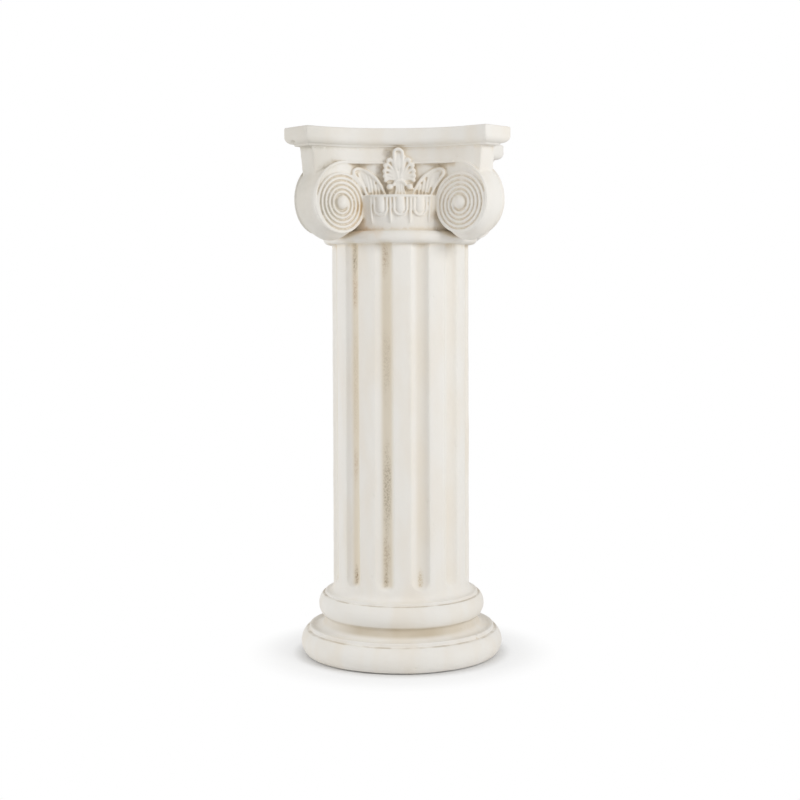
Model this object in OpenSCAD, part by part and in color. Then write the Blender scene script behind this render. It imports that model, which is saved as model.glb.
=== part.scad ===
// Pedestal column in the Ionic order, cast as one piece: a round moulded base, a fluted shaft
// and a capital with four corner volutes under an abacus with hollow sides.
// Millimetres, +Z up, origin at the middle of the underside, the capital's faces square to X and Y.

/* [Overall] */
// Height from the floor to the flat top
total_h = 800; // [650:10:1200]
// Radius of the shaft where it leaves the base
shaft_foot_r = 106; // [90:1:130]
// Radius of the shaft where it meets the capital
shaft_neck_r = 105; // [90:1:130]

/* [Base] */
// How far the lower roll stands out from the shaft
lower_roll_out = 51; // [42:1:62]
// Height of the lower roll
lower_roll_h = 40; // [33:1:48]
// Height on the lower roll where it is widest
lower_roll_belly = 20; // [17:1:23]
// Radius of the lower roll's side
lower_roll_curve = 29; // [29:1:35]
// Height of the eased edge round the underside
heel_h = 4; // [3:0.5:5]
// How far the underside keeps in from the lower roll's widest line
heel_in = 9; // [7.5:0.5:11]
// Step back from the lower roll to the fillet above it
lower_fillet_in = 5; // [4:0.5:6]
// Height of the fillet above the lower roll
lower_fillet_h = 5; // [3:0.5:6]
// How far the upper roll stands out from the shaft
upper_roll_out = 23; // [19:1:28]
// Height of the upper roll
upper_roll_h = 32; // [27:1:38]
// Radius of the upper roll's side
upper_roll_curve = 24; // [20:1:29]
// Height of the scotia, the hollow between the rolls
scotia_h = 18; // [15:1:22]
// How far the scotia's throat keeps in from the edge of the upper roll
scotia_in = 5; // [4:0.5:6]
// How far the fillet on the upper roll stands out from the shaft
upper_fillet_out = 11; // [9:0.5:13]
// Height of the fillet on the upper roll
upper_fillet_h = 4; // [3:0.5:5]
// Radius of the flare where the shaft starts
flare_r = 9; // [7:0.5:10]

/* [Flutes] */
// Number of flutes round the shaft
flute_count = 12; // [8:1:16]
// Width of a flute at the shaft's surface
flute_w = 29; // [24:0.5:35]
// Depth of a flute in its middle
flute_depth = 7; // [5:0.5:8.5]
// Plain shaft left between the flare and the round ends of the flutes
flute_foot = 7; // [4:1:30]
// Angle that the flutes are set round from the capital's faces
flute_turn = 3; // [0:0.5:15]

/* [Abacus] */
// Distance from the shaft's surface to the middle of a hollow side, at the top
abacus_side_out = 12; // [9:1:15]
// Radius of the hollow sides
abacus_side_curve = 195; // [180:5:235]
// Distance from the column's axis to the flat across each corner, less the shaft's radius
abacus_corner_out = 101; // [84:1:121]
// Height of the abacus's upper member
abacus_h = 24; // [20:1:29]
// Radius of the quarter round under the upper member
ovolo_r = 12; // [10:0.5:14]
// Height of the thin fillet under the quarter round
abacus_fillet_h = 3; // [2:0.5:4]
// How far the lower member keeps in from the upper member
tier_in = 16; // [13.5:0.5:19]
// How much the lower member leans in from its top to its foot
tier_lean = 3; // [1:0.5:5]
// Height of the lower member
tier_h = 23; // [19:1:28]

/* [Volutes] */
// Depth of the volutes' eyes under the flat top
eye_drop = 108.5; // [104:0.5:114]
// Distance from the shaft's surface to the line across a volute's two eyes
eye_out = 39.5; // [36:0.5:44]
// Thickness of a volute from eye to eye
volute_t = 51; // [43:1:61]
// Angle that each face turns in towards the corner
volute_splay = 5.5; // [3:0.5:7]
// Radius of the coil of even turns
coil_r = 42.5; // [38:0.5:46]
// Extra radius of the outermost turn where it leaves the canalis
sweep_out = 11.5; // [9.5:0.5:13.5]
// Spacing of the coil's ridges
ridge_pitch = 6.6; // [5.5:0.1:7.8]
// Radius of the coil's rounded ridges
ridge_r = 2; // [1.6:0.1:2.4]
// How deep the ridges' middle line sits in the face
ridge_sink = 0.6; // [0.5:0.1:0.7]
// Radius of the domed eye
eye_r = 9; // [7.5:0.5:10]
// How far the roll round the corner swells between the two faces
roll_swell = 4; // [3:0.5:5]

/* [Bell and ring] */
// Depth of the ring's middle under the flat top
ring_drop = 155.5; // [152:0.5:160]
// How far the ring stands out from the shaft
ring_out = 15; // [12.5:0.5:18]
// Half of the ring's height
ring_half_h = 10; // [8.5:0.5:11.5]
// Depth of the bell's top under the flat top
bell_drop = 98.5; // [95:0.5:101]
// How far the bell stands out from the shaft under its top fillet
bell_out = 7; // [5:0.5:8]
// Height of the fillet on top of the bell
bell_fillet_h = 4.5; // [3.5:0.5:5.5]
// How far that fillet stands out from the bell
bell_fillet_out = 4.5; // [3.5:0.5:5.5]
// Eggs on each face of the bell
egg_count = 3; // [1:2:3]
// Angle from one egg to the next
egg_step = 15; // [13.5:0.5:17]
// Angle that the row of eggs is set round from the capital's faces
egg_turn = 2; // [0:0.5:4]
// Radius of an egg
egg_r = 6.6; // [5.5:0.1:7]
// Height of an egg
egg_h = 25; // [21:1:29]
// Radius of the bead round an egg's shell
shell_r = 1.8; // [1.5:0.1:2]
// Height of the darts between the eggs
dart_h = 33; // [28:1:35]

/* [Palmette and husks] */
// Distance from the shaft's surface back to the canalis behind the palmette
canalis_in = 8; // [7:0.5:9.5]
// Depth of the palmette's collar under the flat top
collar_drop = 76; // [74:0.5:79]
// Height of the palmette's middle leaf above its collar
leaf_h = 45; // [38:0.5:47]
// Leaves on each side of the middle one
side_leaves = 4; // [3:1:5]
// Radius of the middle leaf's tip
leaf_r = 5.5; // [4.6:0.1:6.6]
// Radius of the side leaves' tips
side_leaf_r = 4; // [3.4:0.1:4.8]
// Radius of the two balls beside the stem
ball_r = 6.5; // [5.5:0.1:7.5]
// Radius of the husks' stems
husk_r = 3; // [2.5:0.1:3.6]

/* [Hidden] */
$fn = 64;
face_count = 4;
joint = 1;                       // how far shapes run into each other
slim = 0.5;                      // how much thinner a stem is than the ball at its end
bead_fn = 24;                    // sides of a bead or a stem
ball_fn = 32;                    // sides of a small ball
plaster = [0.93, 0.905, 0.86];

// Radii of the base, worked out from the shaft
lower_roll_r = shaft_foot_r + lower_roll_out;
upper_roll_r = shaft_foot_r + upper_roll_out;
upper_roll_half = upper_roll_h / 2;
upper_roll_edge = upper_roll_r - upper_roll_curve + sqrt(pow(upper_roll_curve, 2) - pow(upper_roll_half, 2));
lower_roll_top = lower_roll_h - lower_roll_belly;
lower_roll_edge = lower_roll_r - lower_roll_curve + sqrt(pow(lower_roll_curve, 2) - pow(lower_roll_top, 2));
lower_fillet_r = lower_roll_edge - lower_fillet_in;
scotia_r = upper_roll_edge - scotia_in;

// Heights of the base, from the floor up
scotia_z = lower_roll_h + lower_fillet_h;
throat_z = scotia_z + scotia_h - scotia_in;
upper_roll_z = scotia_z + scotia_h;
upper_fillet_z = upper_roll_z + upper_roll_h;
shaft_z = upper_fillet_z + upper_fillet_h + flare_r;

// Heights and radii of the capital, from the flat top down
ring_z = total_h - ring_drop;
ring_r = shaft_neck_r + ring_out;
bell_z = total_h - bell_drop;
bell_r = shaft_neck_r + bell_out;
egg_top = bell_z - bell_fillet_h;
eye_z = total_h - eye_drop;
eye_u = shaft_neck_r + eye_out;
tier_z = total_h - abacus_h - abacus_fillet_h;
canalis_z = tier_z - tier_h;
canalis_y = shaft_neck_r - canalis_in;
abacus_side = shaft_neck_r + abacus_side_out;
abacus_corner = shaft_neck_r + abacus_corner_out;
abacus_axis = abacus_side + abacus_side_curve;

// The outermost turn is four quarter arcs, and the coil inside it is half arcs
sweep_arcs = 4;
coil_arcs = floor(2 * (coil_r - eye_r - ridge_r) / ridge_pitch);
arc_count = sweep_arcs + coil_arcs;

// Points along an arc from angle a to angle b
function arc(centre, r, a, b, steps) =
    [for (i = [0 : steps]) centre + r * [cos(a + (b - a) * i / steps), sin(a + (b - a) * i / steps)]];

// Centre of the arc that passes a rim and is upright at the throat
function hollow_centre(rim_r, rim_z) =
    (rim_r * rim_r - scotia_r * scotia_r + pow(rim_z - throat_z, 2)) / (2 * (rim_r - scotia_r));

function roll_arc(r, curve, z, low, high) =
    arc([r - curve, z], curve, asin((low - z) / curve), asin((high - z) / curve), 12);

function scotia_arc(rim_r, rim_z, upward) =
    let (cx = hollow_centre(rim_r, rim_z), turn = atan2(rim_z - throat_z, rim_r - cx))
    upward ? arc([cx, throat_z], cx - scotia_r, 180, turn, 6)
           : arc([cx, throat_z], cx - scotia_r, 360 + turn, 180, 8);

// Half section of the base and the plain shaft
shaft_section = concat(
    [[0, 0], [lower_roll_r - heel_in, 0]],
    roll_arc(lower_roll_r, lower_roll_curve, lower_roll_belly, heel_h, lower_roll_h),
    [[lower_fillet_r, lower_roll_h], [lower_fillet_r, scotia_z]],
    scotia_arc(lower_fillet_r - joint, scotia_z, false),
    scotia_arc(upper_roll_edge - joint, upper_roll_z, true),
    roll_arc(upper_roll_r, upper_roll_curve, upper_roll_z + upper_roll_half, upper_roll_z, upper_fillet_z),
    [[shaft_foot_r + upper_fillet_out, upper_fillet_z],
     [shaft_foot_r + upper_fillet_out, shaft_z - flare_r]],
    arc([shaft_foot_r + flare_r, shaft_z], flare_r, 265, 185, 6),
    [[shaft_foot_r, shaft_z], [shaft_neck_r, ring_z], [0, ring_z]]);

// Half section of the ring and the bell above it
bell_foot = ring_z + ring_half_h - joint;
bell_section = concat(
    [[0, ring_z - ring_half_h + joint]],
    arc([ring_r - ring_half_h, ring_z], ring_half_h, -80, 80, 12),
    [[shaft_neck_r + joint, bell_foot]],
    [for (i = [1 : 8]) [shaft_neck_r + joint + (bell_out - joint) * sin(90 * i / 8),
                        bell_foot + (egg_top - bell_foot) * i / 8]],
    [[bell_r + bell_fillet_out, egg_top], [bell_r + bell_fillet_out, bell_z], [0, bell_z]]);

// How far the abacus keeps in from its widest line, and at what height, from the foot up
abacus_steps = concat(
    [[tier_in + tier_lean, bell_z - joint],
     [tier_in + tier_lean, canalis_z],
     [tier_in, tier_z],
     [ovolo_r + joint, tier_z],
     [ovolo_r + joint, tier_z + abacus_fillet_h]],
    arc([ovolo_r, total_h - abacus_h + ovolo_r], ovolo_r, 270, 180, 5),
    [[0, total_h - joint], [joint, total_h + joint]]);

// Radius of the spiral's arc i, the angles where it starts and ends, and its centre
function arc_r(i) =
    i < sweep_arcs ? coil_r + sweep_out * pow((sweep_arcs - i) / sweep_arcs, 2)
                   : coil_r - ridge_pitch / 2 * (i - sweep_arcs);
function arc_span(i) = i < sweep_arcs ? 90 : 180;
function arc_start(i) = i < sweep_arcs ? 90 - 90 * i : 90 - 180 * (i - sweep_arcs);
function arc_hop(i) = (arc_r(i - 1) - arc_r(i)) * [cos(arc_start(i)), sin(arc_start(i))];
function centre_from_first(i) = i == 0 ? [0, 0] : centre_from_first(i - 1) + arc_hop(i);
function arc_centre(i) = centre_from_first(i) - centre_from_first(arc_count - 1);

module flutes() {
    // A round cutter gives the width at the surface and the depth in the middle
    floor_r = shaft_foot_r - flute_depth;
    edge = shaft_foot_r * cos(asin(flute_w / 2 / shaft_foot_r));
    cutter_at = (pow(shaft_foot_r, 2) - pow(floor_r, 2)) / (2 * (edge - floor_r));
    cutter_r = cutter_at - floor_r;
    end_z = shaft_z + flute_foot + flute_w / 2;
    for (i = [0 : flute_count - 1])
        rotate(flute_turn + (i + 0.5) * 360 / flute_count)
            translate([0, -cutter_at, end_z]) {
                cylinder(h = ring_z - end_z, r = cutter_r);
                sphere(r = cutter_r);
            }
}

module shaft() {
    difference() {
        rotate_extrude() polygon(shaft_section);
        flutes();
    }
}

// What is cut off a block to leave the hollow sides, the flats across the corners and the mouldings
module abacus_waste() {
    reach = abacus_corner + abacus_side_curve;
    foot_z = bell_z - 2 * joint;
    foot_in = tier_in + tier_lean;
    for (i = [0 : face_count - 1]) rotate(90 * i) {
        translate([0, -abacus_axis, 0]) rotate_extrude()
            polygon(concat(
                [[0, foot_z], [abacus_side_curve + foot_in, foot_z]],
                [for (s = abacus_steps) [abacus_side_curve + s[0], s[1]]],
                [[0, total_h + joint]]));
        rotate([90, 0, 45]) translate([0, 0, -abacus_corner]) linear_extrude(2 * abacus_corner)
            polygon(concat(
                [[reach, foot_z], [abacus_corner - foot_in, foot_z]],
                [for (s = abacus_steps) [abacus_corner - s[0], s[1]]],
                [[reach, total_h + joint]]));
    }
}

// The recess between two volutes, down to the canalis and just behind the volutes' faces
module canalis_waste() {
    turn = 45 - volute_splay;
    eye_x = (eye_u - volute_t / 2) / sqrt(2);
    eye_y = (eye_u + volute_t / 2) / sqrt(2) - joint / 2;
    knee_x = eye_x - (eye_y - canalis_y) / tan(turn);
    out_x = eye_x + coil_r / 2;
    out_y = eye_y + coil_r / 2 * tan(turn);
    translate([0, 0, bell_z - 2 * joint]) linear_extrude(canalis_z - bell_z + 2 * joint)
        polygon([[-knee_x, -canalis_y], [-out_x, -out_y], [-out_x, -out_y - abacus_side],
                 [out_x, -out_y - abacus_side], [out_x, -out_y], [knee_x, -canalis_y]]);
}

module abacus() {
    difference() {
        translate([0, 0, bell_z - joint]) linear_extrude(bell_drop + joint)
            square(2 * abacus_corner, center = true);
        abacus_waste();
        for (i = [0 : face_count - 1]) rotate(90 * i) canalis_waste();
    }
}

// Puts its children on a volute's face: X outwards, Y up and Z out of the face, origin at the eye
module on_volute_face() {
    translate([eye_u, -volute_t / 2, eye_z]) rotate([90, 0, volute_splay]) children();
}

module volute_waste() {
    reach = 2 * abacus_side;
    on_volute_face() translate([-reach, -reach, 0]) linear_extrude(volute_t) square(2 * reach);
}

module coil() {
    for (i = [0 : arc_count - 1])
        translate([arc_centre(i)[0], arc_centre(i)[1], -ridge_sink])
            rotate(arc_start(i) - arc_span(i)) rotate_extrude(angle = arc_span(i))
                translate([arc_r(i), 0]) circle(ridge_r, $fn = bead_fn);
    translate([arc_centre(0)[0], arc_centre(0)[1] + arc_r(0), -ridge_sink]) rotate([0, -90, 0])
        cylinder(h = eye_u - canalis_y, r = ridge_r, $fn = bead_fn);
    translate([0, 0, -eye_r / 2]) sphere(r = eye_r);
}

module volute() {
    inward = eye_u - canalis_y / sqrt(2);
    half_t = volute_t / 2;
    edge_half = half_t - coil_r * tan(volute_splay);
    outline = concat(
        [[-inward, 0], [-inward, arc_centre(0)[1] + arc_r(0)]],
        [for (i = [0 : 2]) each arc(arc_centre(i), arc_r(i), arc_start(i), arc_start(i) - arc_span(i), 6)]);
    difference() {
        union() {
            translate([eye_u, volute_t, eye_z]) rotate([90, 0, 0])
                linear_extrude(2 * volute_t) polygon(outline);
            translate([eye_u, 0, eye_z]) rotate([90, 0, 0]) rotate_extrude() polygon(concat(
                [[0, -half_t]],
                [for (i = [-3 : 3]) [coil_r + joint + roll_swell * cos(30 * i), edge_half * i / 3]],
                [[0, half_t]]));
        }
        volute_waste();
        mirror([0, 1, 0]) volute_waste();
    }
    on_volute_face() coil();
    mirror([0, 1, 0]) on_volute_face() coil();
}

// One egg in its shell, hung from the fillet on top of the bell
module egg() {
    drop = egg_h - egg_r;
    sunk = egg_r / 3;
    shell_at = egg_r + shell_r + joint / 2;
    lean = atan((bell_out - joint) / (egg_top - bell_foot) / 2);
    translate([0, -bell_r, egg_top + joint]) rotate([lean, 0, 0]) {
        translate([0, sunk, -drop]) {
            cylinder(h = drop, r = egg_r - slim);
            sphere(r = egg_r);
        }
        translate([0, 0, -drop]) {
            rotate([90, 180, 0]) rotate_extrude(angle = 180)
                translate([shell_at, 0]) circle(shell_r, $fn = bead_fn);
            for (side = [-1, 1])
                translate([side * shell_at, 0, 0]) cylinder(h = drop, r = shell_r, $fn = bead_fn);
        }
    }
}

module dart() {
    lean = atan(bell_out / (egg_top - bell_foot));
    translate([0, -bell_r, egg_top + joint]) rotate([lean, 0, 0]) translate([0, 0, -dart_h])
        cylinder(h = dart_h, r1 = shell_r / 2, r2 = shell_r + joint, $fn = bead_fn);
}

// One leaf of the palmette, from the collar outwards
module leaf(length, tip_r) {
    cylinder(h = length - tip_r, r1 = tip_r / 2, r2 = tip_r - slim, $fn = bead_fn);
    translate([0, 0, length - tip_r]) sphere(r = tip_r, $fn = ball_fn);
}

module palmette() {
    collar_z = total_h - collar_drop;
    collar_r = 2 * leaf_r;
    lean = 7;
    first_turn = 5;
    fan = 70;
    longest = 0.9;
    shortest = 0.45;
    translate([0, -canalis_y - side_leaf_r, collar_z]) {
        rotate([lean, 0, 0]) {
            leaf(leaf_h, leaf_r);
            for (side = [-1, 1], i = [1 : side_leaves])
                rotate([0, side * (first_turn + fan * i / side_leaves), 0])
                    leaf(leaf_h * (longest - (longest - shortest) * i / side_leaves), side_leaf_r);
        }
        rotate([90, 45, 0]) rotate_extrude(angle = 90)
            translate([collar_r, 0]) circle(side_leaf_r - joint, $fn = bead_fn);
        for (side = [-1, 1]) {
            translate([side * 2 * ball_r, 0, -ball_r - joint]) sphere(r = ball_r, $fn = ball_fn);
            translate([side * (side_leaf_r - slim), -joint, bell_z - collar_z - joint])
                cylinder(h = collar_z - bell_z + side_leaf_r, r = side_leaf_r, $fn = bead_fn);
        }
    }
}

// A tapered lobe in the husk's plane, its aim measured from straight up
module lobe(start, length, aim, start_r, end_r) {
    translate(start) rotate([-90, 0, aim]) cylinder(h = length, r1 = start_r, r2 = end_r, $fn = bead_fn);
}

// One husk, the half leaf between the palmette and a volute: an arched stem, its rolled tip and two lobes
module husk() {
    foot_x = 4 * leaf_r;
    rise = canalis_z - bell_z - 2 * husk_r - ridge_r;
    span = eye_u / sqrt(2) - volute_t / 2 - foot_x / 2;
    follow = 12;
    sweep = 62;
    stem_r = norm([rise, span]) / 2 / sin(sweep / 2);
    tilt = atan2(rise, span);
    outer_length = 0.9 * rise;
    outer_aim = 150;
    inner_length = 0.75 * rise;
    inner_aim = 28;
    inner_x = 0.45 * span;
    translate([foot_x, -canalis_y - husk_r, bell_z]) rotate([90, 0, -follow]) {
        translate(stem_r * [sin(tilt + sweep / 2), -cos(tilt + sweep / 2)])
            rotate(90 + tilt - sweep / 2) rotate_extrude(angle = sweep)
                translate([stem_r, 0]) circle(husk_r, $fn = bead_fn);
        translate([span, rise]) sphere(r = husk_r + slim, $fn = ball_fn);
        lobe([span, rise], outer_length, outer_aim, husk_r - slim, joint);
        lobe([inner_x, 0], inner_length, inner_aim, joint, husk_r);
    }
}

module face_ornament() {
    rotate(egg_turn) {
        for (i = [0 : egg_count - 1]) rotate(egg_step * (i - (egg_count - 1) / 2)) egg();
        for (i = [0 : egg_count]) rotate(egg_step * (i - egg_count / 2)) dart();
    }
    palmette();
    husk();
    mirror([1, 0, 0]) husk();
    translate([-canalis_y / 2, -canalis_y, canalis_z]) rotate([0, 90, 0])
        cylinder(h = canalis_y, r = ridge_r + joint, $fn = bead_fn);
}

module column() {
    color(plaster) {
        shaft();
        rotate_extrude() polygon(bell_section);
        abacus();
        for (i = [0 : face_count - 1]) rotate(90 * i) {
            rotate(-45) volute();
            face_ornament();
        }
    }
}

column();
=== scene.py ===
from math import asin, cos, pi, radians, sin, sqrt, tan

import bpy
import numpy as np
from mathutils import Matrix, Vector
from mathutils.bvhtree import BVHTree


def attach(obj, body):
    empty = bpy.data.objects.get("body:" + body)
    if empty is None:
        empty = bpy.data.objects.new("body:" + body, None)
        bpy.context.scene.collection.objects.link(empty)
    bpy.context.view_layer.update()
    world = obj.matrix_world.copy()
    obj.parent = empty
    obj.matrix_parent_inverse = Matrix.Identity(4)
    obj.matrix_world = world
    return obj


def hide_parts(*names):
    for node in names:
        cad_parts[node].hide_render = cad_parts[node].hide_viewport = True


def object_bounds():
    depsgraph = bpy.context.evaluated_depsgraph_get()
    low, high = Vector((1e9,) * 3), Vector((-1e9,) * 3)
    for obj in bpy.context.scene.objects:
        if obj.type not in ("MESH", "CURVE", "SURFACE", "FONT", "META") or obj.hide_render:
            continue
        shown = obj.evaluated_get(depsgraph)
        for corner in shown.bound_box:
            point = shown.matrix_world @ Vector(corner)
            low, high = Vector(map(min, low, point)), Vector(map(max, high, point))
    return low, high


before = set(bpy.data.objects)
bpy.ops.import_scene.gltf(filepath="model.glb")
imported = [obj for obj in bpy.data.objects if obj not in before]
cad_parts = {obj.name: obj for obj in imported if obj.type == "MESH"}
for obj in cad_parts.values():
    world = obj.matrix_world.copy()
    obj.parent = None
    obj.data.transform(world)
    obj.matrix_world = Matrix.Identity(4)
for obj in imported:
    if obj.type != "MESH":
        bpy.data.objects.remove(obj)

cad_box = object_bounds()
top_z = cad_box[1][2]
scene = bpy.context.scene
scene.view_settings.view_transform = "Standard"


# ---- The camera ----
# A portrait lens a little over two metres away, at the height of the shaft's upper third and
# tipped down a few degrees. It stands slightly to the right of the front face.

camera_distance = 2.214
camera_height = 0.555
camera_side = radians(1.8)
camera_pitch = radians(4.13)
camera_roll = radians(-0.2)
camera_yaw = radians(0.03)
lens_mm = 64.2
sensor_mm = 36.0

camera_place = Vector((camera_distance * sin(camera_side), -camera_distance * cos(camera_side),
                       camera_height))
bpy.ops.object.camera_add(location=camera_place)
camera = bpy.context.object
camera.data.lens = lens_mm
camera.data.sensor_width = sensor_mm
camera.matrix_world = (Matrix.Translation(camera_place)
                       @ Matrix.Rotation(camera_side + camera_yaw, 4, "Z")
                       @ Matrix.Rotation(pi / 2 - camera_pitch, 4, "X")
                       @ Matrix.Rotation(camera_roll, 4, "Z"))
scene.camera = camera


# ---- The base and the shaft ----
# The lower part of the one plaster casting. The mould was made from a turned model, so the base is
# a true solid of revolution, and the flutes were cut up the shaft with a round-nosed tool.

def arc(x, z, r, start, end, steps):
    """Points along an arc about (x, z), from one angle to another in degrees."""
    angles = [radians(start + (end - start) * i / steps) for i in range(steps + 1)]
    return [(x + r * cos(a), z + r * sin(a)) for a in angles]


def only(piece):
    """Makes piece the only selected object."""
    bpy.ops.object.select_all(action="DESELECT")
    piece.select_set(True)
    bpy.context.view_layer.objects.active = piece


def turned(name, section, steps):
    """Spins a half section once round the column's axis, and closes it there."""
    bpy.ops.object.select_all(action="DESELECT")
    bpy.ops.mesh.primitive_circle_add(vertices=len(section))
    piece = bpy.context.object
    piece.name = name
    for vertex, (r, z) in zip(piece.data.vertices, section):
        vertex.co = (r, 0.0, z)
    bpy.ops.object.mode_set(mode="EDIT")
    bpy.ops.mesh.select_all(action="SELECT")
    bpy.ops.mesh.spin(steps=steps, angle=2 * pi, center=(0, 0, 0), axis=(0, 0, 1))
    bpy.ops.mesh.select_all(action="SELECT")
    bpy.ops.mesh.remove_doubles(threshold=1e-5)
    bpy.ops.mesh.dissolve_degenerate(threshold=1e-5)
    bpy.ops.mesh.select_all(action="SELECT")
    bpy.ops.mesh.normals_make_consistent(inside=False)
    bpy.ops.object.mode_set(mode="OBJECT")
    return piece


shaft_foot_r = 0.106
shaft_neck_r = 0.105
ring_z = top_z - 0.1562

# The rim of the underside stands clear of the table by foot_gap, outside the face it rests on.
foot_gap = 0.0018
rest_r = 0.1400
heel_r = 0.1478
foot = [(0, 0), (rest_r, 0), (rest_r, foot_gap), (heel_r, foot_gap)]
lower_roll = arc(0.131, 0.0200, 0.0260, -44, 46, 16)
lower_fillet = [(0.1436, 0.0392), (0.1438, 0.0400), (0.1438, 0.0444), (0.1424, 0.0452)]
scotia = arc(0.1330, 0.0575, 0.0140, 296, 180, 10) + arc(0.1236, 0.0572, 0.0046, 180, 100, 6)
upper_roll = arc(0.105, 0.0785, 0.024, -42, 42, 16)
upper_fillet = [(0.1184, 0.0948), (0.1188, 0.0954), (0.1188, 0.0984), (0.1172, 0.0991)]
flare_r = 0.0095
flare = arc(shaft_foot_r + flare_r, 0.1085, flare_r, 268, 182, 8)
neck_end = [(shaft_neck_r, ring_z), (0, ring_z)]
turn_steps = 144
shaft_section = foot + lower_roll + lower_fillet + scotia + upper_roll + upper_fillet + flare + neck_end
shaft = turned("shaft", shaft_section, turn_steps)

flute_count = 12
flute_width = 0.0295
flute_depth = 0.0070
flute_turn = radians(3.0)
flute_floor = shaft_foot_r - flute_depth
flute_edge = shaft_foot_r * cos(asin(flute_width / 2 / shaft_foot_r))
cutter_at = (shaft_foot_r ** 2 - flute_floor ** 2) / (2 * (flute_edge - flute_floor))
cutter_r = cutter_at - flute_floor
flute_foot_z = 0.1150
flute_end_z = flute_foot_z + flute_width / 2

cutters = []
for i in range(flute_count):
    turn = flute_turn + (i + 0.5) * 2 * pi / flute_count - pi / 2
    bpy.ops.object.select_all(action="DESELECT")
    bpy.ops.mesh.primitive_uv_sphere_add(
        segments=64, ring_count=32, radius=cutter_r,
        location=(cutter_at * cos(turn), cutter_at * sin(turn), flute_end_z))
    cutter = bpy.context.object
    bpy.ops.object.transform_apply(location=True)
    for vertex in cutter.data.vertices:
        if vertex.co.z > flute_end_z + 1e-4:
            vertex.co.z = vertex.co.z + ring_z - flute_end_z
    cutters.append(cutter)


def joined(name, pieces):
    """Joins pieces into one object."""
    bpy.ops.object.select_all(action="DESELECT")
    for piece in pieces:
        piece.select_set(True)
    bpy.context.view_layer.objects.active = pieces[0]
    bpy.ops.object.join()
    piece = bpy.context.object
    piece.name = name
    return piece


def apply_all(piece):
    """Applies piece's modifiers in their order."""
    only(piece)
    for modifier in list(piece.modifiers):
        bpy.ops.object.modifier_apply(modifier=modifier.name)


flute_cutter = joined("flute_cutter", cutters)
cut = shaft.modifiers.new("flutes", "BOOLEAN")
cut.operation = "DIFFERENCE"
cut.solver = "EXACT"
cut.use_self = False
cut.object = flute_cutter
apply_all(shaft)
bpy.data.objects.remove(flute_cutter)


# ---- The ring and the bell ----
# The bottom of the capital: a half-round ring that hides the tops of the flutes, and the bell
# above it, which swells a little up to a thin fillet.

ring_r = 0.1185
ring_half = 0.0088
bell_foot_r = 0.1062
bell_top_r = 0.1120
bell_z = top_z - 0.0955
bell_fillet = 0.0038
bell_lip = 0.0008
egg_top = bell_z - bell_fillet


def bell_radius(z):
    """Radius of the bell's side at a height."""
    rise = min(max((z - ring_z - ring_half) / (egg_top - ring_z - ring_half), 0.0), 1.0)
    return bell_foot_r + (bell_top_r - bell_foot_r) * sin(rise * pi / 2)


bell_side = [(bell_radius(z), z) for z in np.linspace(ring_z + ring_half, egg_top, 12)]
ring_side = arc(ring_r - ring_half, ring_z, ring_half, -88, 84, 16)
bell_end = [(bell_top_r + bell_lip, bell_z), (0, bell_z)]
bell = turned("bell", [(0, ring_z - ring_half)] + ring_side + bell_side + bell_end, turn_steps)


# ---- The abacus ----
# The slab on top: an upper member with a quarter round under it, a thin fillet, and a lower member
# that leans in. Its four sides are hollow and its corners are cut off flat.

side_out = 0.1170
side_curve = 0.1950
corner_out = 0.2060
side_steps = 28


def plan_side(side_in, corner_in):
    """The front side of the abacus's outline, kept in at the sides and corners, from left to right."""
    r = side_curve + side_in
    axis = side_out + side_curve
    gap = axis - (corner_out - corner_in) * sqrt(2)
    tip = (sqrt(2 * r * r - gap * gap) - gap) / 2
    return [(x, sqrt(r * r - x * x) - axis) for x in np.linspace(-tip, tip, side_steps)]


def plan(side, z):
    """The whole outline of the abacus at a height, from its front side."""
    ring = []
    for quarter in range(4):
        c, s = cos(quarter * pi / 2), sin(quarter * pi / 2)
        ring += [(x * c - y * s, x * s + y * c, z) for x, y in side]
    return ring


def lofted(name, rings):
    """Stitches closed rings of equally many points into one closed skin."""
    count = len(rings[0])
    faces = [tuple(reversed(range(count)))]
    for k in range(len(rings) - 1):
        low, high = k * count, (k + 1) * count
        faces += [(low + i, low + (i + 1) % count, high + (i + 1) % count, high + i) for i in range(count)]
    faces.append(tuple(range((len(rings) - 1) * count, len(rings) * count)))
    mesh = bpy.data.meshes.new(name)
    mesh.from_pydata([point for ring in rings for point in ring], [], faces)
    piece = bpy.data.objects.new(name, mesh)
    scene.collection.objects.link(piece)
    only(piece)
    bpy.ops.object.mode_set(mode="EDIT")
    bpy.ops.mesh.select_all(action="SELECT")
    bpy.ops.mesh.normals_make_consistent(inside=False)
    bpy.ops.object.mode_set(mode="OBJECT")
    return piece


member_z = top_z - 0.0240
tier_z = member_z - 0.0030
canalis_z = tier_z - 0.0215
tier_foot_z = top_z - 0.0880
ovolo_r = 0.0100
cap_in = 0.0108
tier_in = 0.0144
tier_lean = 0.0016
corner_in = 0.0195
corner_foot_in = 0.0267
overlap = 0.0002


def tier(z):
    """The lower member's outline at a height: it leans in, and its corners more than its sides."""
    down = (tier_z - z) / (tier_z - tier_foot_z)
    return plan_side(tier_in + tier_lean * down, corner_in + (corner_foot_in - corner_in) * down)


def tier_front(x):
    """How far out the lower edge of the lower member's front lies at x."""
    lean = tier_lean * (tier_z - canalis_z) / (tier_z - tier_foot_z)
    return side_out + side_curve - sqrt((side_curve + tier_in + lean) ** 2 - x * x)


upper_member = ([(cap_in, tier_z + overlap), (cap_in, member_z)]
                + arc(ovolo_r, member_z + ovolo_r, ovolo_r, 268, 182, 8)
                + [(0.0, top_z - 0.0020), (0.0006, top_z - 0.0005), (0.0015, top_z)])
abacus = lofted("abacus", [plan(tier(canalis_z), canalis_z), plan(tier(tier_z), tier_z)]
                + [plan(plan_side(inset, inset), z) for inset, z in upper_member])

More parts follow.
